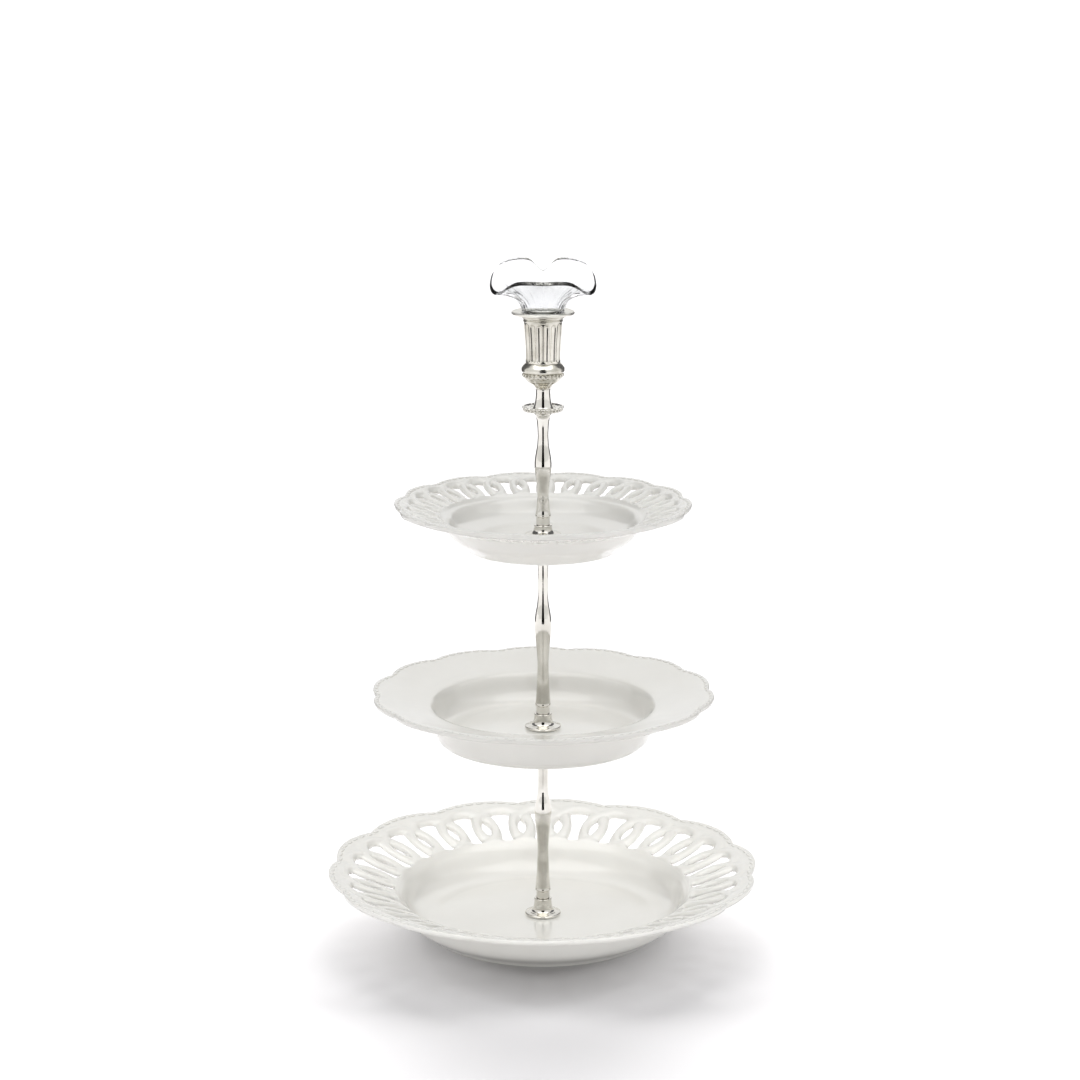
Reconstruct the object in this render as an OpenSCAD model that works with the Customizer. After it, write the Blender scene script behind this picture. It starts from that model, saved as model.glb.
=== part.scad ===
// Three-tier cake stand: three scalloped glazed plates on turned metal stem sections,
// topped by a fluted candle cup that holds a trumpet-shaped glass flower insert.
// Origin: on the stem's axis, on the plane of the foot ring that the stand rests on. +Z is up.

/* [Plates] */
// Diameter of the bottom plate across its lobes
bottom_d = 306; // [260:1:340]
// Diameter of the middle plate across its lobes
middle_d = 242; // [200:1:280]
// Diameter of the top plate across its lobes
top_d = 207; // [160:1:240]
// Number of lobes round each plate
lobes = 14; // [8:2:24]
// Depth of the notch between two lobes of the bottom plate
notch = 4.4; // [0:0.1:8]
// Height of the bottom plate's edge above its floor
bottom_rise = 37.4; // [20:0.2:50]
// Height of the middle plate's edge above its floor
middle_rise = 27.6; // [15:0.2:40]
// Height of the top plate's edge above its floor
top_rise = 24.8; // [12:0.2:40]
// Thickness of the plates' rims
rim_t = 3.6; // [2.5:0.1:6]
// Thickness of the plates' floors at the middle
floor_t = 4.5; // [3:0.1:7]
// Height of the floor's top surface above the bottom of the foot ring
floor_h = 8; // [6:0.1:12]
// Diameter of the hole at the middle of each plate
hole_d = 8; // [6:0.5:12]

/* [Stem] */
// Distance from one plate's floor to the next plate's floor
tier_step = 138.8; // [110:0.1:180]
// Diameter of the foot flange of each stem section
flange_d = 25.4; // [18:0.2:34]
// Largest diameter of the swelling on each stem section
swell_d = 12; // [9:0.1:16]
// Thread diameter of the bottom screw and of the studs
thread_d = 5; // [4:0.5:6]
// Length of thread in each stem socket
thread_l = 10.5; // [8:0.5:14]
// Height of the upper stem section above the top plate's floor
upper_h = 87.3; // [70:0.1:120]

/* [Candle cup] */
// Diameter of the drip pan
pan_d = 29.4; // [24:0.1:36]
// Diameter of the nozzle's flat rim
nozzle_d = 43.4; // [34:0.1:52]
// Diameter of the socket in the nozzle
socket_d = 21.2; // [19:0.1:24]
// Number of flutes round the barrel
flutes = 16; // [8:1:24]

/* [Glass insert] */
// Largest radius of the glass lip
lip_r = 36.6; // [30:0.1:45]
// Height of the glass lip's tall lobes above the nozzle's rim
lip_h = 31; // [24:0.1:45]
// Thickness of the glass
glass_t = 2.6; // [1.8:0.1:4]

/* [Hidden] */
$fn = 96;
pad_t = 0.6;
run = 0.08;                         // radial running clearance of a screw in its socket
rt = thread_d / 2;
f1 = floor_h;                       // floor heights of the three plates
f2 = f1 + tier_step;
f3 = f2 + tier_step;
cone_h = [12, 10.4, 7.8];           // heights of the three collars' cones
top_of_upper = f3 + upper_h;
cup0 = top_of_upper;                // underside of the drip pan
porcelain = [0.93, 0.92, 0.89];
silver = [0.78, 0.76, 0.71];
satin = [0.72, 0.70, 0.65];
steel = [0.6, 0.6, 0.6];
clear = [0.85, 0.9, 0.9, 0.35];
black = [0.1, 0.1, 0.1];

// Catmull-Rom curve through the listed points, with n steps between two of them
function cr(a, b, c, d, t) =
  0.5 * ((2 * b) + (c - a) * t + (2 * a - 5 * b + 4 * c - d) * t * t + (3 * b - a - 3 * c + d) * t * t * t);
function smooth(p, n) = [
  for (i = [0 : len(p) - 2]) for (k = [0 : n - 1])
    cr(p[max(i - 1, 0)], p[i], p[i + 1], p[min(i + 2, len(p) - 1)], k / n),
  p[len(p) - 1]
];

// Outline of a plate: n equal lobes whose notches lie at the angle first and every 360/n after it
module lobed(r_lobe, r_notch, first) {
  c = (r_lobe * r_lobe - r_notch * r_notch) / (2 * (r_lobe - r_notch * cos(180 / lobes)));
  circle(r_notch - 10);
  for (k = [0 : lobes - 1])
    rotate(first + (k + 0.5) * 360 / lobes) translate([c, 0]) circle(r_lobe - c);
}

// Area shared by two circles of radius big, 2*w across and lying along X
module lens(big, w) {
  intersection() {
    translate([0, big - w]) circle(big);
    translate([0, w - big]) circle(big);
  }
}

// The pierced band: wide openings between the ring crossings, and an eye inside each crossing
module piercing(r_in, r_out, r_mid, k, first) {
  n = 2 * lobes;
  difference() {
    circle(r_out);
    circle(r_in);
    for (i = [0 : n - 1])
      rotate(first + i * 360 / n) translate([r_mid - k, 0]) lens(44 * k, 9.9 * k);
  }
  for (i = [0 : n - 1])
    rotate(first + i * 360 / n) translate([r_mid + 0.3 * k, 0]) lens(13.1 * k, 3.3 * k);
}

// Round plate body with a foot ring, before its edge is cut to the lobes.
// f: floor radius, w: foot radius, b: where the rim starts, r: edge radius,
// hb and hr: heights of the rim's two ends above the floor, z: height of the floor
module plate_body(z, f, w, b, hb, r, hr) {
  top = concat(
    [[hole_d / 2, 0]],
    smooth([[f - 11, 0], [f - 1, 0.5], [f + 0.5 * (b - f), 0.30 * hb], [f + 0.8 * (b - f), 0.80 * hb],
            [b, hb]], 5),
    [[r, hr]]);
  under = concat(
    [[r, hr - rim_t], [b + 0.6, hb - rim_t - 0.4]],
    smooth([[b - 0.9, hb - rim_t - 1.2], [f + 0.70 * (b - f) + 1.2, 0.30 * hb - 2.4],
            [w + 3, -floor_t - 0.1], [w, -floor_h + 0.6]], 4),
    [[w - 0.6, -floor_h], [w - 3.2, -floor_h], [w - 3.8, -floor_h + 0.6], [w - 5, -floor_t],
     [hole_d / 2, -floor_t]]);
  translate([0, 0, z]) rotate_extrude() polygon(concat(top, under));
}

module bottom_plate() {
  r = bottom_d / 2;
  color(porcelain) difference() {
    intersection() {
      plate_body(f1, 84, 84, 103, 19.8, r, bottom_rise);
      linear_extrude(80) lobed(r, r - notch, 97.4);
    }
    linear_extrude(80) piercing(106.5, 138, 122, 1, 97.4);
  }
}

module middle_plate() {
  r = middle_d / 2;
  color(porcelain) intersection() {
    plate_body(f2, 67.5, 72, 79, 18.6, r, middle_rise);
    translate([0, 0, f2 - 20]) linear_extrude(80) lobed(r, r - 0.8 * notch, 81);
  }
}

module top_plate() {
  r = top_d / 2;
  color(porcelain) difference() {
    intersection() {
      plate_body(f3, 48, 53.5, 70, 14.6, r, top_rise);
      translate([0, 0, f3 - 20]) linear_extrude(80) lobed(r, r - 0.7 * notch, 88.7);
    }
    translate([0, 0, f3 - 20]) linear_extrude(80) piercing(73, 93.6, 83.6, 0.685, 88.7);
  }
}

// Flat ring of outer radius r and inner radius i, t thick, standing at height z
module ring(z, r, i, t) {
  translate([0, 0, z]) difference() {
    cylinder(r = r, h = t);
    translate([0, 0, -1]) cylinder(r = i, h = t + 2);
  }
}

module bottom_washer() { color(steel) ring(f1 - floor_t - pad_t - 0.8, 10, 2.8, 0.8); }
module bottom_under_pad() { color(black) ring(f1 - floor_t - pad_t, 10.6, 2.8, pad_t); }
module bottom_over_pad() { color(black) ring(f1, 11.2, 2.8, pad_t); }
module middle_under_pad() { color(black) ring(f2 - floor_t - pad_t, 8, 2.8, pad_t); }
module middle_over_pad() { color(black) ring(f2, 11.2, 2.8, pad_t); }
module top_under_pad() { color(black) ring(f3 - floor_t - pad_t, 8, 2.8, pad_t); }
module top_over_pad() { color(black) ring(f3, 11.2, 2.8, pad_t); }

// Screw with a wide thin slotted head, in the recess under the bottom plate
module bottom_screw() {
  z0 = f1 - floor_t - pad_t - 0.8;
  color(steel) difference() {
    union() {
      translate([0, 0, z0 - 1.6]) cylinder(r1 = 6.4, r2 = 7, h = 0.6);
      translate([0, 0, z0 - 1]) cylinder(r = 7, h = 1);
      translate([0, 0, z0 - 0.5]) cylinder(r = rt, h = f1 + pad_t + cone_h[0] + thread_l - z0 + 0.5 - 0.5);
      translate([0, 0, f1 + pad_t + cone_h[0] + thread_l - 0.5]) cylinder(r1 = rt, r2 = rt - 0.5, h = 0.5);
    }
    translate([-8, -0.6, z0 - 2]) cube([16, 1.2, 1.1]);
  }
}

// Flange and cone that a stem section stands on; z is the top of the pad, h the height of the cone
module collar(z, h) {
  r = flange_d / 2;
  color(silver) translate([0, 0, z]) rotate_extrude() polygon(concat(
    [[rt + 0.4, 0], [r - 0.5, 0], [r, 0.4], [r, 1.0], [r - 0.5, 1.5]],
    smooth([[r - 1.6, 1.8], [9.6, 2.3], [7.4, 3.4], [6.5, 0.55 * h], [6.0, h - 1.2]], 4),
    [[6.3, h - 0.9], [6.3, h - 0.35], [5.9, h], [rt + 0.4, h]]));
}
module lower_collar() { collar(f1 + pad_t, cone_h[0]); }
module middle_collar() { collar(f2 + pad_t, cone_h[1]); }
module upper_collar() { collar(f3 + pad_t, cone_h[2]); }

// Turned baluster: z foot of the section, l its length, waist and swell heights above its foot,
// thin radii below and above the swelling, and the radius of its top
module baluster(z, l, waist, swell, neck, r_waist, r_neck, r_top, socket_top) {
  s = swell_d / 2;
  color(silver) translate([0, 0, z]) difference() {
    rotate_extrude() polygon(concat(
      [[0, 0], [4.5, 0], [4.7, 0.4], [4.7, 5.2], [5.1, 5.7], [5.5, 6.1], [5.5, 6.9], [5.15, 7.3]],
      smooth([[5.3, 7.7], [4.75, 7.7 + 0.22 * (waist - 7.7)], [r_waist + 0.32, 7.7 + 0.62 * (waist - 7.7)],
              [r_waist, waist], [r_waist + 0.28 * (s - r_waist), waist + 0.36 * (swell - waist)],
              [r_waist + 0.80 * (s - r_waist), waist + 0.72 * (swell - waist)], [s, swell],
              [r_neck + 0.72 * (s - r_neck), swell + 0.32 * (neck - swell)],
              [r_neck + 0.2 * (s - r_neck), swell + 0.68 * (neck - swell)], [r_neck, neck],
              [r_neck, neck + 0.45 * (l - 11 - neck)], [r_neck + 0.3, l - 9], [r_neck + 0.47 * (r_top - r_neck), l - 3.6],
              [r_top - 0.3, l - 1.3]], 5),
      [[r_top, l - 1], [r_top, l - 0.3], [r_top - 0.3, l], [0, l]]));
    translate([0, 0, -1]) cylinder(r = rt + run, h = thread_l + 3);
    translate([0, 0, l - 10]) cylinder(r = socket_top, h = 11);
  }
}

module lower_stem() {
  z = f1 + pad_t + cone_h[0];
  baluster(z, f2 - floor_t - pad_t - z, 37, 64.4, 84, 3.85, 3.6, 8, rt);
}
module middle_stem() {
  z = f2 + pad_t + cone_h[1];
  baluster(z, f3 - floor_t - pad_t - z, 35, 66.2, 85, 3.9, 3.7, 8, rt);
}
module upper_stem() {
  z = f3 + pad_t + cone_h[2];
  baluster(z, top_of_upper - z, 21.6, 43, 62, 3.9, 3.75, 5.75, 2 + run);
}

// Threaded stud: fixed in the socket at the top of one section, screwed into the next one's foot
module stud(f, h) {
  z0 = f - floor_t - pad_t - 9.5;
  z1 = f + pad_t + h + thread_l;
  color(steel) translate([0, 0, z0]) {
    cylinder(r = rt, h = z1 - z0 - 0.5);
    translate([0, 0, z1 - z0 - 0.5]) cylinder(r1 = rt, r2 = rt - 0.5, h = 0.5);
  }
}
module lower_stud() { stud(f2, cone_h[1]); }
module middle_stud() { stud(f3, cone_h[2]); }

// Shallow dish under the cup, with a bead row under its edge
module drip_pan() {
  r = pan_d / 2;
  color(silver) translate([0, 0, cup0]) difference() {
    union() {
      rotate_extrude() polygon(concat(
        [[0, 0], [5.6, 0]],
        smooth([[6.4, 0.3], [9.5, 0.7], [12, 1.5], [13, 2.4]], 3),
        [[r - 0.5, 3.4], [r, 4.0], [r - 0.2, 4.6], [r - 0.9, 4.8], [12.6, 3.9], [9, 3.2], [0, 3.2]]));
      for (k = [0 : 27]) rotate(k * 360 / 28) translate([12.9, 0, 2.6]) sphere(r = 1.15, $fn = 24);
    }
    translate([0, 0, -1]) cylinder(r = 2.3, h = 8);
  }
}

// Waisted neck between the drip pan and the bowl
module cup_foot() {
  color(silver) translate([0, 0, cup0 + 3.2]) rotate_extrude() polygon(concat(
    [[2.3, 0], [6.9, 0], [7.1, 0.5], [6.9, 1.1]],
    smooth([[6.5, 1.5], [5.5, 5], [5.0, 10.6], [5.15, 13.3]], 4),
    [[5.15, 13.5], [2.3, 13.5]]));
}

// Gadrooned bowl with its bead ring and the bulge above it
module cup_bowl() {
  color(silver) translate([0, 0, cup0 + 16.7]) difference() {
    rotate_extrude() polygon(concat(
      [[0, 0], [5.3, 0]],
      smooth([[5.6, 0.3], [8.2, 1.6], [11.2, 4.4], [13.1, 8.0]], 4),
      smooth([[13.2, 8.6], [14.3, 9.2], [14.5, 9.95], [14.3, 10.7], [13.2, 11.3]], 3),
      smooth([[13.6, 11.7], [14.7, 12.4], [15.05, 13.9], [14.6, 15.6], [13.2, 17.3], [12.1, 18.4]], 3),
      [[10.6, 18.4], [10.6, 16], [0, 16]]));
    translate([0, 0, -1]) cylinder(r = 2.3, h = 18);
    translate([0, 0, 13]) cylinder(r = 8.2, h = 4);
  }
}

// Fluted barrel, stepped inside for the nozzle's sleeve
module cup_barrel() {
  color(silver) translate([0, 0, cup0 + 35.1]) difference() {
    rotate_extrude() polygon(concat(
      [[8.6, 0], [11.5, 0], [12.0, 0.6]],
      smooth([[12.0, 0.8], [11.95, 5], [12.2, 12.5], [12.75, 20.5], [13.3, 28.3]], 4),
      [[13.6, 28.7], [13.7, 29.7], [13.3, 30.3], [13.4, 30.7], [14.6, 31.2], [14.9, 32.0], [14.6, 32.9],
       [13.5, 32.9], [11.3, 29.7], [11.3, 18.1], [9.8, 16.7], [9.8, 2], [8.6, 2]]));
    for (k = [0 : flutes - 1]) rotate((k + 0.5) * 360 / flutes)
      translate([13.0, 0, 2.9]) rotate([0, 2.8, 0]) {
        cylinder(r = 1.55, h = 23, $fn = 32);
        sphere(r = 1.55, $fn = 32);
        translate([0, 0, 23]) sphere(r = 1.55, $fn = 32);
      }
  }
}

// Tie screw: its head stands in the bowl, its shank runs down into the upper stem
module cup_screw() {
  color(steel) translate([0, 0, cup0]) difference() {
    union() {
      translate([0, 0, -8.6]) cylinder(r = 2, h = 38.7);
      translate([0, 0, 29.7]) cylinder(r = 4.2, h = 2.4);
    }
    translate([-5, -0.5, 30.9]) cube([10, 1, 2]);
  }
}

// Loose nozzle: flat rim with a turned edge, a countersunk seat and a sleeve
module cup_nozzle() {
  r = nozzle_d / 2;
  b = socket_d / 2;
  color(satin) translate([0, 0, cup0 + 68]) rotate_extrude() polygon([
    [b, -13.4], [b + 0.55, -13.4], [b + 0.55, -3], [13.3, 0], [14.8, 0], [r - 1.0, 0.6], [r - 0.2, 1.0],
    [r, 1.7], [r - 0.2, 2.4], [r - 1.0, 2.8], [15.6, 2.2], [13.9, 2.2], [b, -2.6]]);
}

// Trumpet of glass: outer and inner walls swept round the axis. The wall follows u from 0 at the
// nozzle to 1 at the lip; the lip has two tall lobes at the back, a lower one in front and three dips.
gz0 = cup0 + 70.2;
wall_r = smooth([[0, 14.5], [0.12, 15], [0.25, 16], [0.38, 18], [0.5, 20.8], [0.65, 25], [0.8, 29.8], [1, 36.4]], 4);
wall_z = smooth([[0, 0], [0.12, 2.5], [0.25, 5.2], [0.38, 8.2], [0.5, 11], [0.65, 14], [0.8, 17], [1, 20]], 4);
// height of the lip's edge, by the angle from the middle of the back
lip_z = smooth([[0, 23], [6, 26], [12, 30.2], [18, 32.4], [30, 33], [45, 32], [60, 30], [75, 25.6], [90, 19.4],
                [104, 16], [118, 14.8], [128, 16.6], [138, 20.4], [150, 23.8], [165, 24.8], [180, 24.5]], 3);
function from_back(a) = let (d = abs(a - 90)) min(d, 360 - d);
function gr(u) = lookup(u, wall_r) * (1 + (lip_r / 36.4 - 1) * u);
function gz(u, a) = let (w = pow(max(u - 0.2, 0) / 0.8, 1.6))
  gz0 + lookup(u, wall_z) + (lookup(from_back(a), lip_z) * lip_h / 33 - 20) * w;
outer = [for (i = [0 : 12]) i / 12];
module glass_vase() {
  n = 72;
  // rings from the peg's foot up the outside, over the lip and down the inside
  function wall(i, a) =
    i == 0 ? [8.8, gz0 - 15]
    : i == 1 ? [9.3, gz0 - 14.5]
    : i == 2 ? [9.9, gz0 - 4.6]
    : i == 3 ? [13.2, gz0]
    : i <= 16 ? [gr(outer[i - 4]), gz(outer[i - 4], a)]
    : i == 17 ? [gr(1) - 0.2, gz(1, a) + glass_t * 0.5]
    : i == 18 ? [gr(1) - 1.1, gz(1, a) + glass_t * 0.95]
    : i <= 28 ? [gr(outer[30 - i]) - glass_t * 0.8, gz(outer[30 - i], a) + glass_t * 0.72]
    : i == 29 ? [10.4, gz0 + 0.4]
    : i == 30 ? [7.2, gz0 - 5.2]
    : [6.4, gz0 - 12];
  m = 32;
  pts = concat([[0, 0, gz0 - 15]],
    [for (i = [0 : m - 1]) for (k = [0 : n - 1])
      let (a = k * 360 / n, w = wall(i, a)) [w[0] * cos(a), w[0] * sin(a), w[1]]],
    [[0, 0, gz0 - 12]]);
  faces = concat(
    [for (k = [0 : n - 1]) [0, 1 + k, 1 + (k + 1) % n]],
    [for (i = [0 : m - 2]) for (k = [0 : n - 1]) each
      [[1 + i * n + k, 1 + (i + 1) * n + k, 1 + (i + 1) * n + (k + 1) % n],
       [1 + i * n + k, 1 + (i + 1) * n + (k + 1) % n, 1 + i * n + (k + 1) % n]]],
    [for (k = [0 : n - 1]) [1 + m * n, 1 + (m - 1) * n + (k + 1) % n, 1 + (m - 1) * n + k]]);
  color(clear) polyhedron(pts, faces, convexity = 8);
}

// Soft ring round the glass peg, which steadies it in the nozzle's socket
module vase_ring() {
  color([0.8, 0.8, 0.78]) translate([0, 0, gz0 - 11.5]) difference() {
    cylinder(r = socket_d / 2 - 0.06, h = 3);
    translate([0, 0, -1]) cylinder(r = 9.66, h = 5);
  }
}

bottom_screw();
bottom_washer();
bottom_under_pad();
bottom_plate();
bottom_over_pad();
lower_collar();
lower_stem();
lower_stud();
middle_under_pad();
middle_plate();
middle_over_pad();
middle_collar();
middle_stem();
middle_stud();
top_under_pad();
top_plate();
top_over_pad();
upper_collar();
upper_stem();
drip_pan();
cup_foot();
cup_bowl();
cup_barrel();
cup_screw();
cup_nozzle();
glass_vase();
vase_ring();
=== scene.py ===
"""Looks of the three-tier cake stand: glazed plates, silver-plated stem and candle cup, glass insert."""
from math import cos, pi, radians, sin

import bmesh
import bpy
import numpy as np
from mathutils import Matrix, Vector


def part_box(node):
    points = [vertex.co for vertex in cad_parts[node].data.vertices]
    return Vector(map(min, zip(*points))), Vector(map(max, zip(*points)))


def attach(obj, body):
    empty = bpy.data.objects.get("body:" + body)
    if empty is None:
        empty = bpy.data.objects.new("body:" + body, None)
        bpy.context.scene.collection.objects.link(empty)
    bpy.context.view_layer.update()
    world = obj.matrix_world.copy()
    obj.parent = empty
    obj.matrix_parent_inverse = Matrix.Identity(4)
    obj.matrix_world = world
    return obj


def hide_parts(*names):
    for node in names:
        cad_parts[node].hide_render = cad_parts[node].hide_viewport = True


MM = 0.001
LOBES = 14                      # lobes round each plate
BEADS = 8                       # beads along the edge of each lobe
CELLS = 2 * LOBES               # ring crossings round each pierced band
FLOOR_H, FLOOR_T, RIM_T = 8.0, 4.5, 3.6  # floor above the foot's ground plane; thickness of floor and rim
RIM_SINK = 0.12                 # how far the glazed rim lies below the CAD's, to leave room for its relief
AMBIENT, MIRRORED = 0.46, 1.0   # strength of the white surroundings, on matt surfaces and in reflections
CAMERA = (-0.0021, -2.032, 0.7558)  # metres
LOOK_DOWN = 13.1                # degrees that the camera looks down
FLOOR_TILT = -68                # degrees from straight down, leaning so that the light comes from behind


def top_of(node):
    """Height of the top of a CAD node, in millimetres."""
    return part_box(node)[1][2] / MM


def foot_of(node):
    """Height of the lowest point of a CAD node, in millimetres."""
    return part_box(node)[0][2] / MM


# ---------------------------------------------------------------- mesh helpers

def mesh_object(name, points, faces, smooth=True):
    """A mesh from points in millimetres and lists of corner numbers."""
    mesh = bpy.data.meshes.new(name)
    mesh.from_pydata((np.asarray(points, float) * MM).tolist(), [], faces)
    mesh.validate()
    mesh.polygons.foreach_set("use_smooth", [smooth] * len(mesh.polygons))
    obj = bpy.data.objects.new(name, mesh)
    bpy.context.collection.objects.link(obj)
    return obj


def outward(obj):
    """Turns every face of a closed mesh to look out."""
    bm = bmesh.new()
    bm.from_mesh(obj.data)
    bmesh.ops.recalc_face_normals(bm, faces=bm.faces)
    bm.to_mesh(obj.data)
    bm.free()
    return obj


def catmull(points, steps):
    """Points along a Catmull-Rom curve through the listed ones."""
    p = np.asarray(points, float)
    out = []
    last = len(p) - 1
    for i in range(last):
        a, b, c, d = p[max(i - 1, 0)], p[i], p[i + 1], p[min(i + 2, last)]
        for k in range(steps):
            t = k / steps
            out.append(0.5 * (2 * b + (c - a) * t + (2 * a - 5 * b + 4 * c - d) * t * t
                              + (3 * b - a - 3 * c + d) * t ** 3))
    out.append(p[last])
    return np.array(out)


def grid_faces(rows, cols, wrap_rows):
    """Quads of a grid whose points are numbered row by row, and whose rows each close on themselves."""
    faces = []
    for i in range(rows if wrap_rows else rows - 1):
        near, far = i * cols, (i + 1) % rows * cols
        for k in range(cols):
            m = (k + 1) % cols
            faces.append((near + k, near + m, far + m, far + k))
    return faces


def turned(name, profile, segments, shape=None):
    """A solid turned from a closed outline of (radius, height); shape(r, z, angles) may vary the radius."""
    angles = np.arange(segments) * 2 * pi / segments
    rows = []
    for r, z in profile:
        radius = np.full(segments, float(r))
        height = np.full(segments, float(z))
        if shape:
            radius, height = shape(radius, height, angles)
        rows.append(np.stack([radius * np.cos(angles), radius * np.sin(angles), height], 1))
    points = np.concatenate(rows)
    return outward(mesh_object(name, points, grid_faces(len(rows), segments, True)))


def add_beads(points, faces, centres, along, across, high):
    """Appends beads to a mesh's lists: half lengths along the edge, across it and upwards."""
    rings, cols = 6, 14
    for x, y, z in centres:
        start = len(points)
        out = np.array([x, y]) / np.hypot(x, y)
        side = np.array([-out[1], out[0]])
        ball = [(x, y, z + high), (x, y, z - high)]
        for i in range(1, rings):
            a = pi * i / rings
            for k in range(cols):
                b = 2 * pi * k / cols
                px, py = np.array([x, y]) + sin(a) * (cos(b) * across * out + sin(b) * along * side)
                ball.append((px, py, z + high * cos(a)))
        points.extend(ball)
        for k in range(cols):
            m = (k + 1) % cols
            faces.append((start, start + 2 + k, start + 2 + m))
            faces.append((start + 1, start + 2 + (rings - 2) * cols + m, start + 2 + (rings - 2) * cols + k))
        for i in range(rings - 2):
            for k in range(cols):
                m = (k + 1) % cols
                a, b = start + 2 + i * cols, start + 2 + (i + 1) * cols
                faces.append((a + k, b + k, b + m, a + m))


# ---------------------------------------------------------------- materials

def nodes_of(name):
    """A new material, its node tree and its shader."""
    mat = bpy.data.materials.new(name)
    mat.use_nodes = True
    tree = mat.node_tree
    return mat, tree, tree.nodes["Principled BSDF"]


def noise(tree, scale, detail=3.0, rough=0.5, stretch=None):
    """Noise in object space, so that it sits still on the piece."""
    place = tree.nodes.new("ShaderNodeTexCoord")
    out = tree.nodes.new("ShaderNodeTexNoise")
    out.inputs["Scale"].default_value = scale
    out.inputs["Detail"].default_value = detail
    out.inputs["Roughness"].default_value = rough
    if stretch:
        turn = tree.nodes.new("ShaderNodeMapping")
        turn.inputs["Scale"].default_value = stretch
        tree.links.new(place.outputs["Object"], turn.inputs["Vector"])
        tree.links.new(turn.outputs["Vector"], out.inputs["Vector"])
    else:
        tree.links.new(place.outputs["Object"], out.inputs["Vector"])
    return out.outputs["Fac"]


def ramp(tree, value, stops):
    """A colour ramp over a value; stops are (place, colour)."""
    node = tree.nodes.new("ShaderNodeValToRGB")
    bar = node.color_ramp
    while len(bar.elements) < len(stops):
        bar.elements.new(0.5)
    for element, (place, colour) in zip(bar.elements, stops):
        element.position = place
        element.color = (*colour, 1)
    tree.links.new(value, node.inputs["Fac"])
    return node.outputs["Color"]


def spread(tree, value, low, high, src=(0.3, 0.7)):
    """Maps a noise value to a range."""
    node = tree.nodes.new("ShaderNodeMapRange")
    node.inputs["From Min"].default_value, node.inputs["From Max"].default_value = src
    node.inputs["To Min"].default_value, node.inputs["To Max"].default_value = low, high
    tree.links.new(value, node.inputs["Value"])
    return node.outputs["Result"]


def bump(tree, shader, value, strength, distance, below=None):
    """Bumps the shader's surface by a value, on top of another bump if one is given."""
    node = tree.nodes.new("ShaderNodeBump")
    node.inputs["Strength"].default_value = strength
    node.inputs["Distance"].default_value = distance
    tree.links.new(value, node.inputs["Height"])
    if below:
        tree.links.new(below, node.inputs["Normal"])
    tree.links.new(node.outputs["Normal"], shader.inputs["Normal"])
    return node.outputs["Normal"]


def blend_colour(tree, factor, a, b):
    """Mixes two colours, each a value or another node's output."""
    node = tree.nodes.new("ShaderNodeMix")
    node.data_type = "RGBA"
    tree.links.new(factor, node.inputs["Factor"])
    for socket, value in ((node.inputs[6], a), (node.inputs[7], b)):
        if isinstance(value, bpy.types.NodeSocket):
            tree.links.new(value, socket)
        else:
            socket.default_value = (*value, 1)
    return node.outputs[2]


def glaze():
    """Off-white creamware under a clear gloss glaze, with faint clouds in the colour and a soft ripple."""
    mat, tree, shader = nodes_of("glaze")
    clouds = ramp(tree, noise(tree, 14, 4, 0.55),
                  [(0.32, (0.735, 0.725, 0.69)), (0.68, (0.775, 0.768, 0.735))])
    specks = ramp(tree, noise(tree, 900, 2, 0.5), [(0.70, (0, 0, 0)), (0.78, (1, 1, 1))])
    faint = spread(tree, specks, 0.0, 0.10, (0, 1))
    tree.links.new(blend_colour(tree, faint, clouds, (0.45, 0.42, 0.36)), shader.inputs["Base Color"])
    tree.links.new(spread(tree, noise(tree, 40, 3), 0.10, 0.20), shader.inputs["Roughness"])
    shader.inputs["IOR"].default_value = 1.52
    shader.inputs["Subsurface Weight"].default_value = 0.06
    shader.inputs["Subsurface Radius"].default_value = (0.004, 0.0035, 0.003)
    shader.inputs["Coat Weight"].default_value = 0.25
    shader.inputs["Coat Roughness"].default_value = 0.05
    ripple = bump(tree, shader, noise(tree, 45, 2), 0.25, 0.0006)
    bump(tree, shader, noise(tree, 420, 2), 0.12, 0.0001, ripple)
    return mat


def silver(name, colour=(0.75, 0.735, 0.69), dull=(0.64, 0.62, 0.57), rough=(0.03, 0.10)):
    """Polished plate with faint tarnish clouds and fine rubbing marks round the turning."""
    mat, tree, shader = nodes_of(name)
    shader.inputs["Metallic"].default_value = 1.0
    cloud = noise(tree, 60, 5, 0.6)
    tree.links.new(ramp(tree, cloud, [(0.36, dull), (0.60, colour)]), shader.inputs["Base Color"])
    tree.links.new(spread(tree, noise(tree, 130, 4), *rough), shader.inputs["Roughness"])
    rub = bump(tree, shader, noise(tree, 30, 3, 0.6, (1, 1, 60)), 0.10, 0.00008)
    bump(tree, shader, noise(tree, 160, 3), 0.10, 0.0002, rub)
    return mat


def satin():
    """Spun satin metal: fine rings round the axis over a soft sheen."""
    mat, tree, shader = nodes_of("satin_silver")
    shader.inputs["Metallic"].default_value = 1.0
    tint = ramp(tree, noise(tree, 90, 4), [(0.35, (0.68, 0.665, 0.61)), (0.65, (0.78, 0.765, 0.715))])
    tree.links.new(tint, shader.inputs["Base Color"])
    tree.links.new(spread(tree, noise(tree, 240, 3), 0.26, 0.38), shader.inputs["Roughness"])
    place = tree.nodes.new("ShaderNodeTexCoord")
    rings = tree.nodes.new("ShaderNodeTexWave")
    rings.wave_type = "RINGS"
    rings.rings_direction = "Z"
    rings.inputs["Scale"].default_value = 700
    rings.inputs["Distortion"].default_value = 1.5
    tree.links.new(place.outputs["Object"], rings.inputs["Vector"])
    bump(tree, shader, rings.outputs["Fac"], 0.15, 0.00003)
    return mat


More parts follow.
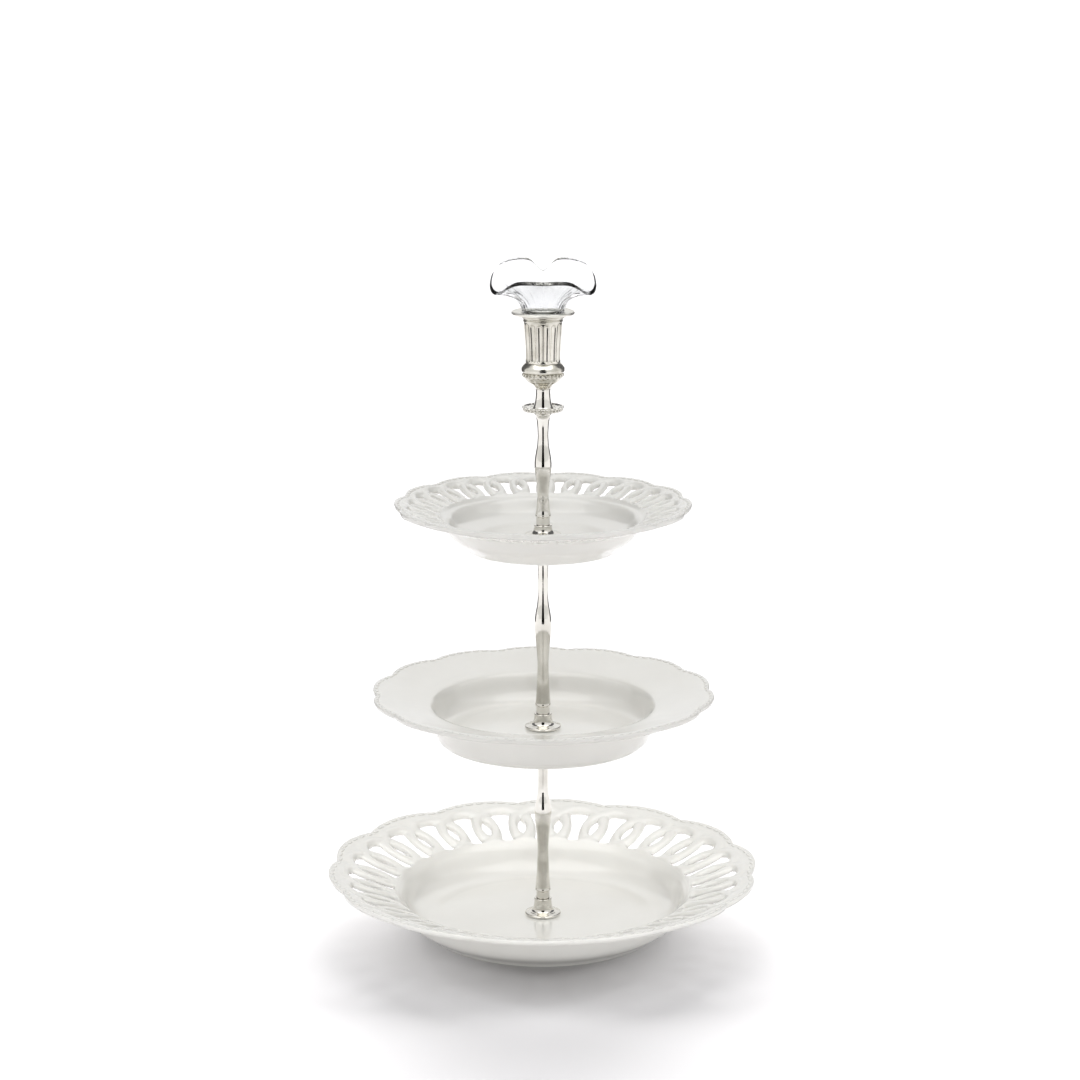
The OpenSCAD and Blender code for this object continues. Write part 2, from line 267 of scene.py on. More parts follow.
def clear_glass():
    """Clear blown glass with slight waves, and painted upright streaks: its colour is darker in streaks that
    stand in for refracted surroundings.
    """
    mat, tree, shader = nodes_of("clear_glass")
    # Painted streaks of refraction: noise stretched upright dims the glass colour in streaks.
    tint = ramp(tree, noise(tree, 60, 3, 0.5, (1, 1, 0.3)),
                [(0.35, (0.80, 0.81, 0.815)), (0.65, (0.93, 0.935, 0.94))])
    tree.links.new(tint, shader.inputs["Base Color"])
    shader.inputs["Transmission Weight"].default_value = 1.0
    shader.inputs["IOR"].default_value = 1.25
    tree.links.new(spread(tree, noise(tree, 80, 2), 0.0, 0.03), shader.inputs["Roughness"])
    bump(tree, shader, noise(tree, 70, 2), 0.15, 0.0004)
    return mat


def steel():
    """Zinc-plated steel with a faint crystalline mottle."""
    mat, tree, shader = nodes_of("steel")
    shader.inputs["Metallic"].default_value = 1.0
    tree.links.new(ramp(tree, noise(tree, 500, 4), [(0.35, (0.46, 0.47, 0.48)), (0.65, (0.64, 0.64, 0.63))]),
                   shader.inputs["Base Color"])
    tree.links.new(spread(tree, noise(tree, 300, 3), 0.22, 0.42), shader.inputs["Roughness"])
    bump(tree, shader, noise(tree, 900, 2), 0.15, 0.00005)
    return mat


def rubber(name, dark, light):
    """Matt soft rubber with a dusty bloom."""
    mat, tree, shader = nodes_of(name)
    tint = ramp(tree, noise(tree, 260, 4), [(0.35, dark), (0.7, light)])
    tree.links.new(tint, shader.inputs["Base Color"])
    tree.links.new(spread(tree, noise(tree, 600, 3), 0.6, 0.85), shader.inputs["Roughness"])
    bump(tree, shader, noise(tree, 1500, 2), 0.3, 0.00008)
    return mat


def dress(obj, material):
    """The object's only material, on the node's own mesh or on a new piece."""
    obj.data.materials.clear()
    obj.data.materials.append(material)


def stand_for(obj, body, slot, material, *nodes):
    """A finished piece in place of CAD nodes."""
    dress(obj, material)
    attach(obj, body)
    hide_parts(*nodes)


# ---------------------------------------------------------------- plates

BAND, GAP = 9, 5                # columns across a ring strip, and across half an opening
HALF = BAND + GAP
COLS = 2 * HALF + 1             # columns from one eye's middle to the next
PITCH = 2 * pi / CELLS
WALL = 3                        # rows down the wall of an opening
CROSSING_ARC, CROSSING_SHIFT = 44.0, 34.1  # sides of a ring crossing: radius and offset of their arcs
EYE_ARC, EYE_SHIFT = 13.1, 9.8  # the same for the pointed outer half of the eye in a crossing
EYE_WIDE, EYE_TIP = 3.3, 8.69   # half width of the eye's round inner half, and half length of the eye
EYE_OUT = 0.3                   # how far outside the crossing's middle the eye's middle lies


class Plate:
    """Shape of one plate, in millimetres, with heights above its floor.

    Floor, foot, rim and edge each have a radius. The edge dips by notch between lobes, and first is the
    angle of the first dip. bead has the half lengths of an edge bead, along the edge, across and upwards.
    """

    def __init__(self, z, floor_r, foot_r, rim_r, rim_h, edge_r, edge_h, notch, first, pierced, bead):
        self.z, self.floor_r, self.foot_r = z, floor_r, foot_r
        self.rim_r, self.rim_h, self.edge_r, self.edge_h = rim_r, rim_h, edge_r, edge_h
        self.notch, self.first, self.pierced, self.bead = notch, radians(first), pierced, bead

    def edge(self, angle):
        """Radius of the lobed outline."""
        a = pi / LOBES
        low = self.edge_r - self.notch
        c = (self.edge_r ** 2 - low ** 2) / (2 * (self.edge_r - low * cos(a)))
        d = (angle - self.first) % (2 * a) - a
        return c * np.cos(d) + np.sqrt((self.edge_r - c) ** 2 - (c * np.sin(d)) ** 2)

    def rim_z(self, r):
        """Height of the rim's top surface above the floor."""
        return self.rim_h + (r - self.rim_r) * (self.edge_h - self.rim_h) / (self.edge_r - self.rim_r)

    def inner_top(self):
        """The well from the hole to just past the shoulder, as (radius, height above the floor)."""
        b, f, hb = self.rim_r, self.floor_r, self.rim_h
        wall = catmull([[f - 11, 0], [f - 1, 0.5], [f + 0.5 * (b - f), 0.30 * hb],
                        [f + 0.8 * (b - f), 0.78 * hb], [b - 0.3, hb - 0.9],
                        [b + 1.4, self.rim_z(b + 1.4) - RIM_SINK]], 8)
        return np.concatenate([[[4, -0.3], [4.3, 0], [9, 0], [20, 0], [0.6 * f, 0]], wall])

    def inner_under(self):
        """Profile of the underside, from below the shoulder over the foot ring to the hole."""
        b, f, w, hb = self.rim_r, self.floor_r, self.foot_r, self.rim_h
        curve = catmull([[b - 0.9, hb - RIM_T - 1.2], [f + 0.70 * (b - f) + 1.2, 0.30 * hb - 2.4],
                         [w + 3, -FLOOR_T - 0.1], [w, -FLOOR_H + 0.6]], 7)
        foot = [[w - 0.15, -FLOOR_H + 0.25], [w - 0.6, -FLOOR_H], [w - 3.2, -FLOOR_H],
                [w - 3.65, -FLOOR_H + 0.25], [w - 3.8, -FLOOR_H + 0.6], [w - 4.3, -FLOOR_T - 0.4],
                [w - 5.2, -FLOOR_T], [w - 12, -FLOOR_T], [20, -FLOOR_T], [4.3, -FLOOR_T],
                [4, -FLOOR_T + 0.3]]
        return np.concatenate([curve, foot])


def smoothstep(x):
    """Eases from 0 to 1 as x goes from 0 to 1, flat outside."""
    x = np.clip(x, 0, 1)
    return x * x * (3 - 2 * x)


def columns(half):
    """Values of one half cell, mirrored over the whole cell."""
    return np.concatenate([half, half[:-1][::-1]])


def angles_of(half):
    """Angles of one half cell's columns and of their mirror images, across the whole cell."""
    return np.concatenate([half, PITCH - half[:-1][::-1]])


def band_half(plate, r):
    """Half widths, as angles, of a ring crossing and of the eye inside it, at radius r in the band."""
    k, mid = plate.pierced["k"], plate.pierced["mid"]
    y = (r - mid) / k
    strip = np.sqrt(np.maximum(CROSSING_ARC ** 2 - y ** 2, 0)) - CROSSING_SHIFT
    ye = y - EYE_OUT
    lens = np.where(ye > 0, np.sqrt(np.maximum(EYE_ARC ** 2 - ye ** 2, 0)) - EYE_SHIFT,
                    EYE_WIDE * np.sqrt(np.maximum(1 - (ye / EYE_TIP) ** 2, 0)))
    eye = np.where(np.abs(ye) < EYE_TIP - 0.01, np.maximum(lens, 0), 0)
    return strip * k / r, eye * k / r


def band_rows(plate):
    """(radius, angle) of every column of one half cell, row by row from the inner to the outer end."""
    p = plate.pierced
    k, mid, r_in, r_out = p["k"], p["mid"], p["in"], p["out"]
    tip = EYE_TIP * k
    eye_mid = mid + EYE_OUT * k
    low = np.linspace(r_in, eye_mid - tip, 6)[:-1]
    through = eye_mid - tip * np.cos(np.linspace(0, pi, 17))
    high = np.linspace(eye_mid + tip, r_out, 7)[1:]
    share = (np.concatenate([low, through, high]) - r_in) / (r_out - r_in)
    c = np.arange(HALF + 1)
    near = np.where(c <= BAND, (c / BAND) ** 2, np.abs((HALF - c) / GAP) ** 3)
    arch = np.where(c < BAND, 0, 1 - near)
    top = r_out - 1.9 * k * near + 0.5 * k * arch
    bottom = r_in + 1.7 * k * near - 0.4 * k * arch
    out = []
    for s in share:
        r = bottom + s * (top - bottom)
        strip, eye = band_half(plate, r)
        t = np.clip(c / BAND, 0, 1)
        angle = np.where(c <= BAND, eye + t * (strip - eye), strip + (c - BAND) / GAP * (PITCH / 2 - strip))
        angle[HALF] = PITCH / 2
        out.append((r, angle))
    first_eye, last_eye = len(low), len(low) + len(through) - 1
    return out, first_eye, last_eye


def gap_to(loops, x, y):
    """Distance from each point to the nearest point of the loops."""
    best = np.full(x.shape, 1e9)
    for loop in loops:
        for px, py in loop:
            best = np.minimum(best, np.hypot(x - px, y - py))
    return best


def ring_relief(plate, r, off, height):
    """Raised interlaced rings, each over its neighbour at the outer crossing and under it at the inner."""
    p = plate.pierced
    k, mid = p["k"], p["mid"]
    a, b, w = 20.4 * k, 18.9 * k, 3.5 * k
    ridges = []
    for turn in (-0.5, 0.5, 1.5):
        x = r * np.sin(off - turn * PITCH)
        y = r * np.cos(off - turn * PITCH) - mid - 0.5 * k
        q = np.hypot(x / a, y / b)
        away = np.abs(q - 1) * np.hypot(x, y) / np.maximum(q, 1e-6)
        ridges.append(away / w)
    out = np.zeros_like(r)
    outer = r > mid
    for one, two in ((0, 1), (1, 2)):
        over = np.where(outer, ridges[one], ridges[two])
        under = np.where(outer, ridges[two], ridges[one])
        top = np.maximum(1 - over ** 2, 0) ** 0.8
        low = np.maximum(1 - under ** 2, 0) ** 0.8 * smoothstep((over - 0.9) / 0.4)
        out = np.maximum(out, np.maximum(top, low))
    return height * out


def around(plate, half):
    """Angles of every column of every cell, from those of one half cell."""
    cell = np.arange(CELLS)[:, None]
    return plate.first + cell * PITCH + angles_of(half)[None, :]


def row_of(plate, r, half, z=0.0):
    """One row of points as [radii, angles, heights]; r is one radius or those of a half cell's columns."""
    angle = around(plate, half)
    radius = np.broadcast_to(columns(r) if np.ndim(r) else r, angle.shape)
    return [radius.astype(float), angle, np.full(angle.shape, float(z))]


def within_cell(plate, angle):
    """Angles counted from the first column of their own cell."""
    return angle - plate.first - np.arange(CELLS)[:, None] * PITCH


def toward(plate, r, even, start):
    """Columns that shift from even spacing on the floor to the band's own at the top of the wall."""
    near = smoothstep((r - plate.floor_r) / (plate.rim_r - plate.floor_r))
    return even + near * 0.85 * (start - even)


def border_rows(plate, finish, even):
    """Rows from the band's outer end out to the lobed edge."""
    rows = []
    finish_r = columns(finish[0])[None, :]
    for s in (0.06, 0.14, 0.24, 0.36, 0.48, 0.60, 0.70, 0.78, 0.85, 0.91, 0.95, 0.975):
        angle = around(plate, finish[1] + smoothstep(s * 1.2) * (even - finish[1]))
        rows.append([finish_r + s * (plate.edge(angle) - 0.4 - finish_r), angle, np.zeros(angle.shape)])
    return rows


def edge_rows(plate, even):
    """Rows down the rounded edge of the rim, as insets from the outline and drops below the rim's top."""
    angle = around(plate, even)
    edge = plate.edge(angle)
    turn = ((0.25, 0.35), (0.04, 0.95), (0.0, 1.7), (0.06, 2.5), (0.35, 3.15), (0.9, 3.5))
    return [[edge - inset, angle, plate.z + plate.rim_z(edge) - drop] for inset, drop in turn]


def rim_relief(plate, r, angle):
    """Height of the ornament above the plain rim: a border line, and on pierced plates the rings."""
    inset = plate.edge(angle) - r
    if not plate.pierced:
        return 0.35 * smoothstep((inset - 3.6) / 1.2) * smoothstep((r - plate.rim_r) / 4)
    rings = ring_relief(plate, r, within_cell(plate, angle), 0.9 * plate.pierced["k"] ** 0.5)
    rings *= smoothstep((r - plate.pierced["in"] + 6) / 8)
    rings *= smoothstep(np.clip(inset / 9.0, 0, 1) * 1.4)
    border = smoothstep((r - plate.pierced["out"] - 1.5) / 3.0) * smoothstep((inset - 3.2) / 1.5)
    return rings + 0.5 * border


def plate_points(plate):
    """All rows of a plate's surface, from the hole over the top, round the edge and back underneath."""
    even = np.linspace(0, PITCH / 2, HALF + 1)
    if plate.pierced:
        band, first_eye, last_eye = band_rows(plate)
        start, finish = band[0], band[-1]
    else:
        start = finish = (np.full(HALF + 1, plate.rim_r + 2.0), even)
        band, first_eye, last_eye = [], 0, -1
    well = [row_of(plate, r, toward(plate, r, even, start[1]), plate.z + z) for r, z in plate.inner_top()]
    rim = []
    if plate.pierced:
        lead = plate.rim_r + (start[0] - plate.rim_r) * 0.6
        rim.append(row_of(plate, lead, even + 0.95 * (start[1] - even)))
    first_band = len(well) + len(rim)
    rim += [row_of(plate, r, half) for r, half in band]
    last_band = len(well) + len(rim) - 1
    rim += border_rows(plate, finish, even)
    for row in rim:
        r, angle, _ = row
        row[2] = plate.z + plate.rim_z(r) + rim_relief(plate, r, angle) - RIM_SINK
    rows = well + rim
    top_count = len(rows)
    edge = edge_rows(plate, even)
    rows += edge
    for r, a, _ in rows[first_band:top_count][::-1]:
        rows.append([r.copy(), a.copy(), plate.z + plate.rim_z(r) - RIM_T])
    if plate.pierced:
        r, a, _ = rows[first_band - 1]
        rows.append([r, a, plate.z + plate.rim_z(r) - RIM_T - 0.2])
    rows += [row_of(plate, r, toward(plate, r, even, start[1]), plate.z + z) for r, z in plate.inner_under()]
    under_last = top_count + len(edge) + (top_count - 1 - last_band)  # the underside's outermost band row
    info = {"first": first_band, "last": last_band, "under": under_last, "n": len(band),
            "eye": (first_eye, last_eye)}
    return rows, info


def round_openings(plate, rows, info):
    """Lowers the top and lifts the underside close to the openings, so that their edges are rounded."""
    local = []
    for loop in (opening_loop(info), eye_loop(info)):
        for shift in (-1, 0, 1):
            pts = []
            for j, q in loop:
                r, a, _ = rows[info["first"] + j]
                ang = a[0, q] - plate.first + shift * PITCH
                pts.append((r[0, q] * cos(ang), r[0, q] * sin(ang)))
            local.append(pts)
    reach = 1.5 * plate.pierced["k"] ** 0.5
    mirror = {info["first"] + j: info["under"] + info["n"] - 1 - j for j in range(info["n"])}
    for i in range(info["first"] - 3, info["last"] + 5):
        r, a, z = rows[i]
        off = within_cell(plate, a)
        gap = gap_to(local, r * np.cos(off), r * np.sin(off))
        drop = 0.95 * np.clip(1 - gap / reach, 0, 1) ** 2
        rows[i][2] = z - drop
        if i in mirror:
            rows[mirror[i]][2] = rows[mirror[i]][2] + 0.8 * drop


def opening_loop(info):
    """Outline of the wide opening between two crossings, as (row, column)."""
    n = info["n"]
    left = [(j, BAND) for j in range(n)]
    arch = [(n - 1, q) for q in range(BAND + 1, 2 * HALF - BAND)]
    right = [(j, 2 * HALF - BAND) for j in range(n - 1, -1, -1)]
    foot = [(0, q) for q in range(2 * HALF - BAND - 1, BAND, -1)]
    return left + arch + right + foot


def eye_loop(info):
    """Half of the outline of the eye inside a ring crossing, as (row, column)."""
    lo, hi = info["eye"]
    return [(j, 0) for j in range(lo, hi + 1)]


def plate_object(name, plate):
    """Joins the rows of one plate into a closed mesh with its openings cut and its beads on."""
    rows, info = plate_points(plate)
    pierced = bool(plate.pierced)
    if pierced:
        round_openings(plate, rows, info)
    per_row = CELLS * COLS
    points = np.concatenate([
        np.stack([r * np.cos(a), r * np.sin(a), z], -1).reshape(-1, 3) for r, a, z in rows])
    lo, hi = info["eye"]
    eye_rows = set()
    if pierced:
        eye_rows = {info["first"] + j for j in range(lo + 1, hi)}
        eye_rows |= {info["under"] + info["n"] - 1 - j for j in range(lo + 1, hi)}

    def number(row, cell, q):
        """Number of a point; a cell shares its border columns with the next cell, except along the eyes."""
        row %= len(rows)
        cell %= CELLS
        if q == COLS - 1 and row not in eye_rows:
            cell, q = (cell + 1) % CELLS, 0
        return row * per_row + cell * COLS + q

    def both_sides(j, cell, q):
        """Numbers of the band's point in the top and of the one below it in the underside."""
        return number(info["first"] + j, cell, q), number(info["under"] + info["n"] - 1 - j, cell, q)

    band_pairs = set()
    if pierced:
        band_pairs = {info["first"] + j for j in range(info["n"] - 1)}
        band_pairs |= {info["under"] + j for j in range(info["n"] - 1)}
    faces = []
    for row in range(len(rows)):
        for cell in range(CELLS):
            for q in range(COLS - 1):
                if row in band_pairs and BAND <= q < 2 * HALF - BAND:
                    continue
                faces.append((number(row, cell, q), number(row, cell, q + 1),
                              number(row + 1, cell, q + 1), number(row + 1, cell, q)))
    extra = []
    if pierced:
        for cell in range(CELLS):
            right = [both_sides(j, cell, 0) for j in range(lo, hi + 1)]
            left = [both_sides(j, cell - 1, COLS - 1) for j in range(hi - 1, lo, -1)]
            wall_faces(points, extra, faces, [both_sides(j, cell, q) for j, q in opening_loop(info)])
            wall_faces(points, extra, faces, right + left)
    points = points.tolist() + extra
    add_edge_beads(plate, points, faces)
    used = sorted({v for f in faces for v in f})
    renumber = {v: i for i, v in enumerate(used)}
    obj = mesh_object(name, [points[v] for v in used], [tuple(renumber[v] for v in f) for f in faces])
    return outward(obj)


def wall_faces(points, extra, faces, loop):
    """The rounded wall of an opening, between matching loops of the top and the underside."""
    top = points[[a for a, _ in loop]]
    low = points[[b for _, b in loop]]
    ahead, behind = np.roll(top, -1, 0), np.roll(top, 1, 0)
    along = (ahead - behind)[:, :2]
    area = np.sum(top[:, 0] * ahead[:, 1] - ahead[:, 0] * top[:, 1])
    normal = np.stack([-along[:, 1], along[:, 0]], 1) * (1 if area > 0 else -1)
    normal /= np.maximum(np.linalg.norm(normal, axis=1, keepdims=True), 1e-9)
    base = len(points) + len(extra)
    n = len(loop)
    for k in range(1, WALL + 1):
        t = k / (WALL + 1)
        bulge = 0.32 * sin(pi * t) ** 0.6
        ring = top + (low - top) * t
        ring[:, :2] += normal * bulge
        extra.extend(ring.tolist())
    for i in range(n):
        j = (i + 1) % n
        chain_i = [loop[i][0]] + [base + k * n + i for k in range(WALL)] + [loop[i][1]]
        chain_j = [loop[j][0]] + [base + k * n + j for k in range(WALL)] + [loop[j][1]]
        for k in range(WALL + 1):
            faces.append((chain_i[k], chain_i[k + 1], chain_j[k + 1], chain_j[k]))


def add_edge_beads(plate, points, faces):
    """The row of beads that follows the lobed edge, evenly spaced within each lobe."""
    centres = []
    for lobe in range(LOBES):
        for k in range(BEADS):
            angle = plate.first + (lobe + (k + 0.5) / BEADS) * 2 * pi / LOBES
            r = float(plate.edge(np.array(angle))) - plate.bead[1] - 0.9
            centres.append((r * cos(angle), r * sin(angle), plate.z + plate.rim_z(r) - 0.05))
    add_beads(points, faces, centres, *plate.bead)


def build_plates(material):
    """The three plates. A pierced band runs from in to out, with its rings' crossings centred on mid."""
    f1, f2, f3 = foot_of("bottom_over_pad"), foot_of("middle_over_pad"), foot_of("top_over_pad")
    shapes = {
        "bottom": Plate(z=f1, floor_r=84, foot_r=84, rim_r=103, rim_h=19.8, edge_r=152.8, edge_h=37.4,
                        notch=4.4, first=97.4, pierced={"in": 106.5, "out": 138, "mid": 122, "k": 1.0},
                        bead=(3.2, 1.6, 0.42)),
        "middle": Plate(z=f2, floor_r=67.5, foot_r=72, rim_r=79, rim_h=18.6, edge_r=120.8, edge_h=27.6,
                        notch=3.5, first=81, pierced=None, bead=(2.6, 1.4, 0.38)),
        "top": Plate(z=f3, floor_r=48, foot_r=53.5, rim_r=70, rim_h=14.6, edge_r=103.3, edge_h=24.8,
                     notch=3.1, first=88.7, pierced={"in": 73, "out": 93.6, "mid": 83.6, "k": 0.685},
                     bead=(2.2, 1.3, 0.36)),
    }
    for tier, shape in shapes.items():
        piece = plate_object(tier + "_plate_glazed", shape)
        stand_for(piece, tier + "_tier", "glaze", material, tier + "_plate")


# ---------------------------------------------------------------- metal

def baluster(name, z, length, waist, swell, neck, r_waist, r_neck, r_top):
    """Stem section: a foot ring, a waist, a swelling and a neck, then a flare up to its top."""
    s = 6.0
    outside = np.concatenate([
        [[4.5, 0], [4.68, 0.15], [4.7, 0.4], [4.7, 5.2], [5.1, 5.7], [5.42, 5.95], [5.5, 6.2], [5.5, 6.85],
         [5.4, 7.1], [5.15, 7.3], [5.2, 7.5]],
        catmull([[5.3, 7.7], [4.75, 7.7 + 0.22 * (waist - 7.7)],
                 [r_waist + 0.32, 7.7 + 0.62 * (waist - 7.7)], [r_waist, waist],
                 [r_waist + 0.28 * (s - r_waist), waist + 0.36 * (swell - waist)],
                 [r_waist + 0.80 * (s - r_waist), waist + 0.72 * (swell - waist)], [s, swell],
                 [r_neck + 0.72 * (s - r_neck), swell + 0.32 * (neck - swell)],
                 [r_neck + 0.2 * (s - r_neck), swell + 0.68 * (neck - swell)], [r_neck, neck],
                 [r_neck, neck + 0.45 * (length - 11 - neck)], [r_neck + 0.3, length - 9],
                 [r_neck + 0.47 * (r_top - r_neck), length - 3.6], [r_top - 0.3, length - 1.3]], 10),
        [[r_top, length - 1], [r_top, length - 0.3], [r_top - 0.3, length], [2.6, length],
         [2.6, length - 10], [0.05, length - 10], [0.05, 12.5], [2.58, 12.5], [2.58, 0]]])
    outside[:, 1] += z
    return turned(name, outside, 96)


def collar(name, z, h):
    """Flange and cone that a stem section stands on."""
    r = 12.7
    outline = np.concatenate([
        [[2.9, 0], [r - 0.5, 0], [r - 0.1, 0.15], [r, 0.5], [r, 1.0], [r - 0.15, 1.35], [r - 0.6, 1.55]],
        catmull([[r - 1.6, 1.8], [9.6, 2.3], [7.4, 3.4], [6.5, 0.55 * h], [6.0, h - 1.2]], 8),
        [[6.12, h - 1.05], [6.3, h - 0.85], [6.3, h - 0.4], [6.15, h - 0.1], [5.8, h], [2.9, h]]])
    outline[:, 1] += z
    return turned(name, outline, 96)


def build_stem(material):
    """The three collars and the three stem sections that stand on them."""
    for tier in ("lower", "middle", "upper"):
        node = tier + "_collar"
        piece = collar(tier + "_collar_turned", foot_of(node), top_of(node) - foot_of(node))
        stand_for(piece, node, "silver_plate", material, node)
    forms = {"lower": (37, 64.4, 84, 3.85, 3.6, 8), "middle": (35, 66.2, 85, 3.9, 3.7, 8),
             "upper": (21.6, 43, 62, 3.9, 3.75, 5.75)}
    for tier, form in forms.items():
        node = tier + "_stem"
        z = foot_of(node)
        piece = baluster(tier + "_stem_turned", z, top_of(node) - z, *form)
        stand_for(piece, tier + "_section", "silver_plate", material, node)


def petal_pan(name, z):
    """Drip pan whose edge is a ring of small petals, with a bead row under it."""
    r = 14.6
    outline = np.concatenate([
        [[2.3, 0], [5.6, 0]], catmull([[6.4, 0.3], [9.5, 0.7], [12, 1.5], [13, 2.4]], 6),
        [[13.6, 3.0], [r - 0.5, 3.4], [r - 0.08, 3.7], [r, 4.05], [r - 0.15, 4.45], [r - 0.8, 4.75],
         [13.2, 4.3], [12.2, 3.7], [10.6, 3.3], [9, 3.2], [2.3, 3.2]]])

    def petals(radius, height, angles):
        wave = np.abs(np.sin(10 * angles)) ** 0.7
        edge = smoothstep((radius - 11.5) / 3)
        return radius - 0.9 * edge * (1 - wave), height + 0.25 * edge * wave + z

    piece = turned(name, outline, 240, petals)
    points = [tuple(v.co / MM) for v in piece.data.vertices]
    faces = [tuple(p.vertices) for p in piece.data.polygons]
    centres = [(12.9 * cos(a), 12.9 * sin(a), z + 2.5) for a in np.arange(28) * 2 * pi / 28]
    add_beads(points, faces, centres, 1.15, 1.15, 1.15)
    return rebuilt(piece, points, faces)


def rebuilt(obj, points, faces):
    """The same object with a longer mesh."""
    name = obj.name
    bpy.data.objects.remove(obj)
    return outward(mesh_object(name, points, faces))


def waisted_foot(name, z):
    """Neck between the drip pan and the bowl."""
    outline = np.concatenate([
        [[2.3, 0], [6.7, 0], [7.0, 0.2], [7.1, 0.55], [7.0, 0.9], [6.7, 1.15]],
        catmull([[6.5, 1.5], [5.5, 5], [5.0, 10.6], [5.15, 13.3]], 8), [[5.15, 13.5], [2.3, 13.5]]])
    outline[:, 1] += z
    return turned(name, outline, 96)


def gadroon_bowl(name, z):
    """Bowl with ten gadroons under its bead ring and a plain bulge above."""
    outline = np.concatenate([
        [[2.3, 0], [5.3, 0]], catmull([[5.1, 0.2], [5.8, 1.4], [7.6, 3.2], [10.8, 5.3], [12.8, 8.0]], 8),
        [[12.9, 8.5], [13.2, 9.0], [13.3, 10.0], [13.1, 11.0], [13.0, 11.3]],
        catmull([[13.6, 11.7], [14.7, 12.4], [15.05, 13.9], [14.6, 15.6], [13.2, 17.3], [12.1, 18.4]], 6),
        [[10.6, 18.4], [10.6, 16], [8.2, 15.9], [8.2, 13.1], [2.3, 13]]])

    def gadroons(radius, height, angles):
        wave = np.abs(np.cos(5 * angles)) ** 0.55
        here = smoothstep((height - 0.4) / 1.6) * smoothstep((8.3 - height) / 0.8) * (radius > 5.0)
        return radius - 0.09 * radius * here * (1 - wave), height + z

    piece = turned(name, outline, 240, gadroons)
    points = [tuple(v.co / MM) for v in piece.data.vertices]
    faces = [tuple(p.vertices) for p in piece.data.polygons]
    centres = [(13.15 * cos(a), 13.15 * sin(a), z + 9.95) for a in np.arange(24) * 2 * pi / 24]
    add_beads(points, faces, centres, 1.45, 1.5, 1.4)
    return rebuilt(piece, points, faces)


def fluted_barrel(name, z):
    """Barrel with round-ended flutes between flat fillets, and a double ring at its mouth."""
    flutes = 16
    outline = np.concatenate([
        [[8.6, 0], [11.5, 0], [11.9, 0.3], [12.0, 0.6]],
        catmull([[12.0, 0.8], [11.95, 5], [12.2, 12.5], [12.75, 20.5], [13.3, 28.3]], 18),
        [[13.4, 28.5], [13.6, 28.7], [13.75, 29.1], [13.7, 29.7], [13.5, 30.1], [13.3, 30.3], [13.4, 30.7],
         [14.2, 30.9], [14.6, 31.2], [14.9, 31.7], [14.9, 32.3], [14.6, 32.9],
         [13.5, 32.9], [11.3, 29.7], [11.3, 18.1], [9.8, 16.7], [9.8, 2], [8.6, 2]]])

    def cut(radius, height, angles):
        turn = (angles * flutes / (2 * pi)) % 1 - 0.5
        across = turn * 2 * pi / flutes * 12.6
        low, high = 3.2, 25.6
        beyond = np.maximum(np.maximum(low - height, height - high), 0)
        away = np.hypot(across, beyond) / 1.9
        depth = 1.05 * np.sqrt(np.maximum(1 - away ** 2, 0)) * (radius > 11.8)
        return radius - depth, height + z

    return turned(name, outline, flutes * 20, cut)


def nozzle(name, z):
    """Flat turned rim over a countersunk seat and a thin sleeve; z is the plane that it rests on."""
    r, b = 21.7, 10.6
    outline = np.array([
        [b, -13.4], [b + 0.55, -13.4], [b + 0.55, -3], [13.3, 0], [14.8, 0], [r - 1.0, 0.6], [r - 0.4, 0.8],
        [r - 0.1, 1.2], [r, 1.7], [r - 0.1, 2.2], [r - 0.4, 2.6], [r - 1.0, 2.8], [r - 1.5, 2.65],
        [r - 1.9, 2.4], [r - 3, 2.3], [15.6, 2.2], [13.9, 2.2], [b, -2.6], [b, -6]])
    outline[:, 1] += z
    return turned(name, outline, 128)


def build_cup(polished, dark_reflection_silver, spun):
    """The candle cup from its drip pan up to the loose nozzle."""
    pan0 = foot_of("drip_pan")
    stand_for(petal_pan("drip_pan_petals", pan0), "pan", "silver_plate", polished, "drip_pan")
    foot = waisted_foot("cup_foot_turned", foot_of("cup_foot"))
    stand_for(foot, "cup", "silver_plate", polished, "cup_foot")
    # The bowl and the barrel wear a darker copy of the silver: its dimmer colours are a painted darker
    # reflection, laid over the same tarnish clouds.
    bowl = gadroon_bowl("cup_bowl_gadrooned", foot_of("cup_bowl"))
    stand_for(bowl, "cup", "silver_plate", dark_reflection_silver, "cup_bowl")
    barrel = fluted_barrel("cup_barrel_fluted", foot_of("cup_barrel"))
    stand_for(barrel, "cup", "silver_plate", dark_reflection_silver, "cup_barrel")
    rim = nozzle("cup_nozzle_spun", top_of("cup_barrel"))
    stand_for(rim, "nozzle", "satin_silver", spun, "cup_nozzle")


# ---------------------------------------------------------------- glass

GLASS_T = 2.6
PEG = 15                        # length of the peg below the seat
LIP_SCALE = 31 / 33             # the lip's height over that of the curve drawn for it


